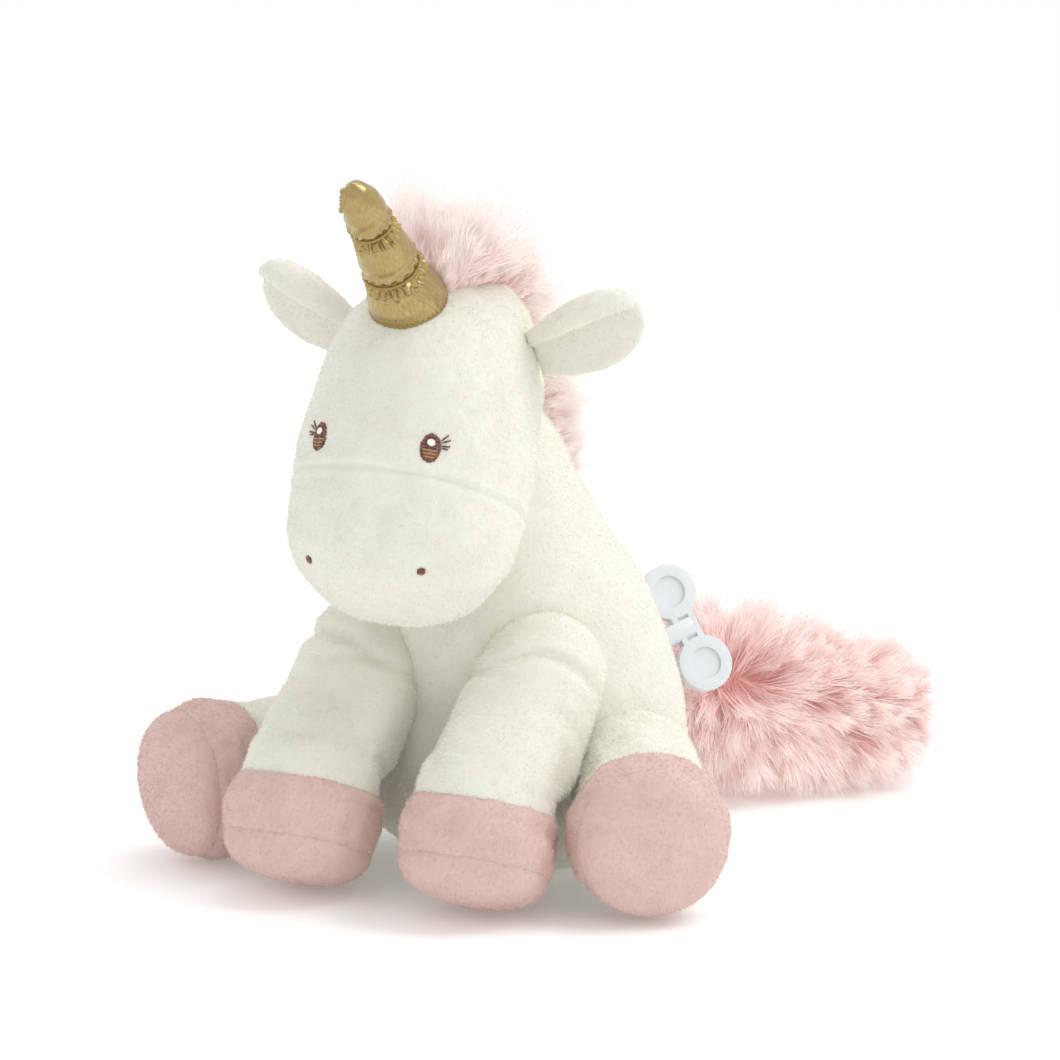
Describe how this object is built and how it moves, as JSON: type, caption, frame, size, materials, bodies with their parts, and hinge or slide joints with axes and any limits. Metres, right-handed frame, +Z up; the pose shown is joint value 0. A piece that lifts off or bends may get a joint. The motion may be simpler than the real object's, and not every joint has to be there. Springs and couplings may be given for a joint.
{
  "type": "plush unicorn",
  "caption": "Sitting stuffed unicorn with plush hooves, gathered satin horn, fur mane and tail, and a winding key for a musical movement in its back.",
  "frame": {"origin": "centre of the flat sewn base of the torso, on the surface that the toy sits on", "axes": "+Z up, -Y the way the face looks, +X the unicorn's left"},
  "size_m": [0.2378, 0.2939, 0.2645],
  "materials": {
    "cream_plush": "matte",
    "pink_plush": "matte",
    "pale_fur": "matte",
    "tail_fur": "matte",
    "gold_satin": "satin",
    "fibre_fill": "matte",
    "brown_thread": "satin",
    "white_thread": "satin",
    "gold_thread": "satin",
    "white_plastic": "gloss",
    "works_plastic": "satin",
    "steel": "satin",
    "brass": "satin"
  },
  "bodies": {
    "torso": {"body_cover": "cream_plush", "body_stuffing": "fibre_fill", "mane_neck": "pale_fur", "case_back": "works_plastic", "case_front": "works_plastic", "bedplate": "steel", "comb": "steel", "comb_screw_1": "steel", "comb_screw_2": "steel", "spring_cup": "brass", "mainspring": "steel", "governor_bracket": "steel", "key_collar": "white_plastic"},
    "key": {"winding_key": "white_plastic", "winding_shaft": "steel", "great_gear": "brass"},
    "cylinder": {"pinned_cylinder": "brass"},
    "governor": {"governor_fan": "brass"},
    "head": {"head_cover": "cream_plush", "muzzle_cover": "cream_plush", "head_stuffing": "fibre_fill", "horn_cover": "gold_satin", "horn_stuffing": "fibre_fill", "horn_thread_1": "gold_thread", "horn_thread_2": "gold_thread", "mane_crest": "pale_fur", "eye_left": "brown_thread", "eye_right": "brown_thread", "eye_highlight_left": "white_thread", "eye_highlight_right": "white_thread", "nostril_left": "brown_thread", "nostril_right": "brown_thread"},
    "ear_left": {"ear_left_cover": "cream_plush", "ear_left_lining": "cream_plush"},
    "ear_right": {"ear_right_cover": "cream_plush", "ear_right_lining": "cream_plush"},
    "tail": {"tail_core": "fibre_fill", "tail_fur": "tail_fur"},
    "front_leg_left": {"front_leg_left_cover": "cream_plush", "front_leg_left_stuffing": "fibre_fill", "front_hoof_left": "pink_plush", "front_sole_left": "pink_plush"},
    "front_leg_right": {"front_leg_right_cover": "cream_plush", "front_leg_right_stuffing": "fibre_fill", "front_hoof_right": "pink_plush", "front_sole_right": "pink_plush"},
    "back_leg_left": {"back_leg_left_cover": "cream_plush", "back_leg_left_stuffing": "fibre_fill", "back_hoof_left": "pink_plush", "back_sole_left": "pink_plush"},
    "back_leg_right": {"back_leg_right_cover": "cream_plush", "back_leg_right_stuffing": "fibre_fill", "back_hoof_right": "pink_plush", "back_sole_right": "pink_plush"}
  },
  "joints": [
    {"name": "key_wind", "type": "hinge", "parent": "torso", "child": "key", "pos_m": [0.0312, 0.0448, 0.0675], "axis": [-0.54, -0.77, -0.34], "range_deg": [0, 1080], "stiffness_Nm_per_rad": 0.0004},
    {"name": "cylinder_turn", "type": "hinge", "parent": "torso", "child": "cylinder", "pos_m": [0.00868, 0.02521, 0.07573], "axis": [-0.4906, -0.0403, 0.8705], "range_deg": [0, 1080]},
    {"name": "governor_turn", "type": "hinge", "parent": "torso", "child": "governor", "pos_m": [0.00175, 0.03241, 0.07158], "axis": [0.54, 0.77, 0.34], "range_deg": [0, 3240]},
    {"name": "head_turn", "type": "hinge", "parent": "torso", "child": "head", "pos_m": [0, -0.026, 0.15], "axis": [0, 0, 1], "range_deg": [-20, 20], "stiffness_Nm_per_rad": 0.4},
    {"name": "ear_left_fold", "type": "hinge", "parent": "head", "child": "ear_left", "pos_m": [0.0345, -0.056, 0.1955], "axis": [-0.2453, -0.2103, 0.9463], "range_deg": [-30, 30], "stiffness_Nm_per_rad": 0.02},
    {"name": "ear_right_fold", "type": "hinge", "parent": "head", "child": "ear_right", "pos_m": [-0.0345, -0.056, 0.1955], "axis": [-0.2453, 0.2103, -0.9463], "range_deg": [-30, 30], "stiffness_Nm_per_rad": 0.02},
    {"name": "front_leg_left_swing", "type": "hinge", "parent": "torso", "child": "front_leg_left", "pos_m": [0.035, -0.05, 0.078], "axis": [1, 0, 0], "range_deg": [-25, 0], "stiffness_Nm_per_rad": 0.3},
    {"name": "front_leg_right_swing", "type": "hinge", "parent": "torso", "child": "front_leg_right", "pos_m": [-0.035, -0.05, 0.078], "axis": [1, 0, 0], "range_deg": [-25, 0], "stiffness_Nm_per_rad": 0.3},
    {"name": "back_leg_left_lift", "type": "hinge", "parent": "torso", "child": "back_leg_left", "pos_m": [0.046, -0.008, 0.034], "axis": [-0.6547, -0.4386, 0.6157], "range_deg": [0, 25], "stiffness_Nm_per_rad": 0.3},
    {"name": "back_leg_right_lift", "type": "hinge", "parent": "torso", "child": "back_leg_right", "pos_m": [-0.046, -0.008, 0.034], "axis": [-0.6547, 0.4386, -0.6157], "range_deg": [0, 25], "stiffness_Nm_per_rad": 0.3},
    {"name": "tail_wag", "type": "hinge", "parent": "torso", "child": "tail", "pos_m": [0, 0.062, 0.046], "axis": [0, 0, 1], "range_deg": [0, 50], "stiffness_Nm_per_rad": 0.1}
  ],
  "couplings": [
    {"joint": "cylinder_turn", "follows": "key_wind", "ratio": 1},
    {"joint": "governor_turn", "follows": "key_wind", "ratio": 3}
  ]
}
